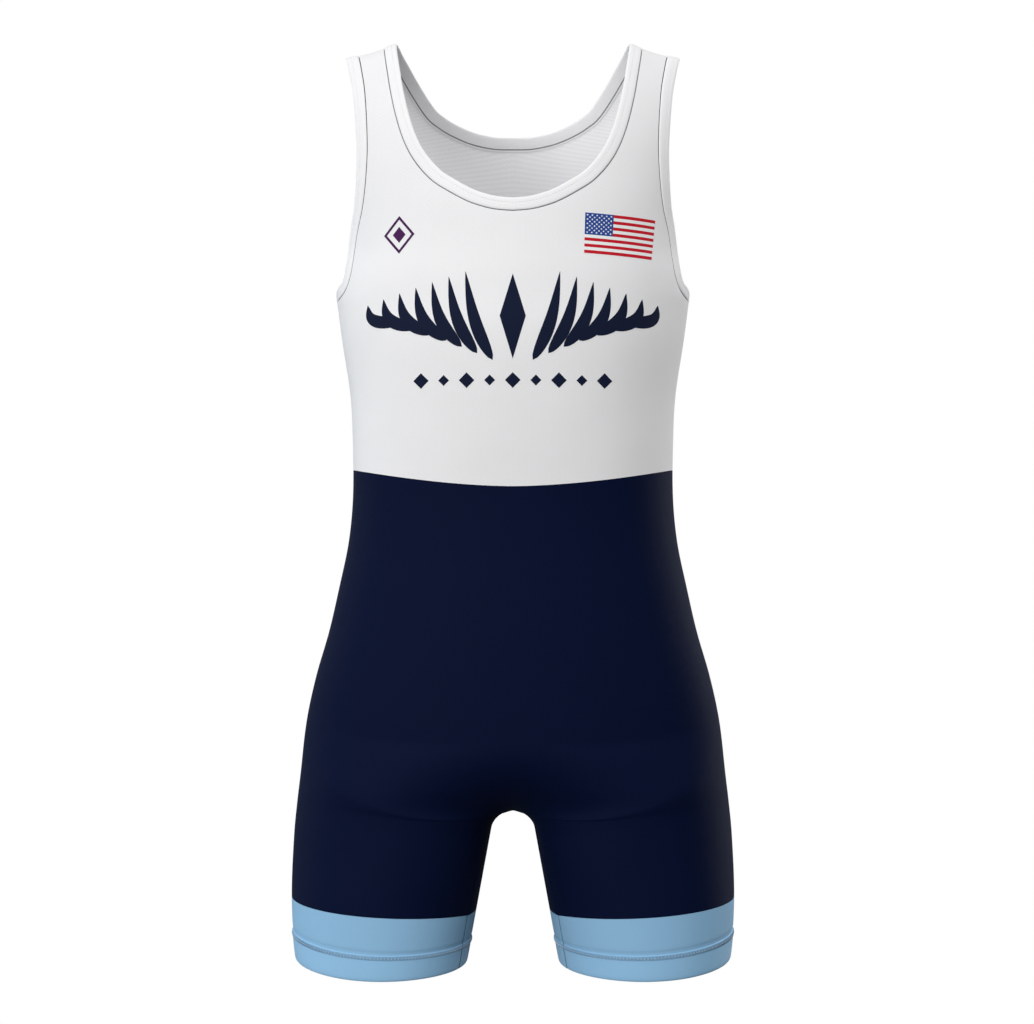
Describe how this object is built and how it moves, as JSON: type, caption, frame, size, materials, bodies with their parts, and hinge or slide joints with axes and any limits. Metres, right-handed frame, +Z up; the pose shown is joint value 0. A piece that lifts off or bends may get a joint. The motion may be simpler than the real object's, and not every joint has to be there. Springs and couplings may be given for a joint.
{
  "type": "wrestling singlet",
  "caption": "Sleeveless one-piece stretch garment with a scooped neck, deep armholes and short legs with banded hems, hollow and filled out as worn.",
  "frame": {"origin": "midway between the undersides of the two shoulder straps at the shoulder seams, where the wearer's shoulders carry the garment", "axes": "+Z up; the front of the garment faces -Y, its back +Y; X runs across, with the wearer's left side at +X"},
  "size_m": [0.397, 0.2177, 0.8243],
  "materials": {
    "upper_cloth": "smooth white stretch knit, matte with a soft sheen",
    "lower_cloth": "smooth navy stretch knit, matte with a soft sheen",
    "band_cloth": "smooth light blue stretch knit",
    "cuff_cloth": "light blue stretch knit, folded and stitched at the hem",
    "binding_cloth": "white ribbed stretch binding, folded and stitched"
  },
  "bodies": {
    "root": {"front_top": "upper_cloth", "back_top": "upper_cloth", "front_lower": "lower_cloth", "back_lower": "lower_cloth", "leg_band_left": "band_cloth", "leg_band_right": "band_cloth", "leg_cuff_left": "cuff_cloth", "leg_cuff_right": "cuff_cloth", "neck_binding": "binding_cloth", "armhole_binding_left": "binding_cloth", "armhole_binding_right": "binding_cloth"}
  },
  "joints": []
}
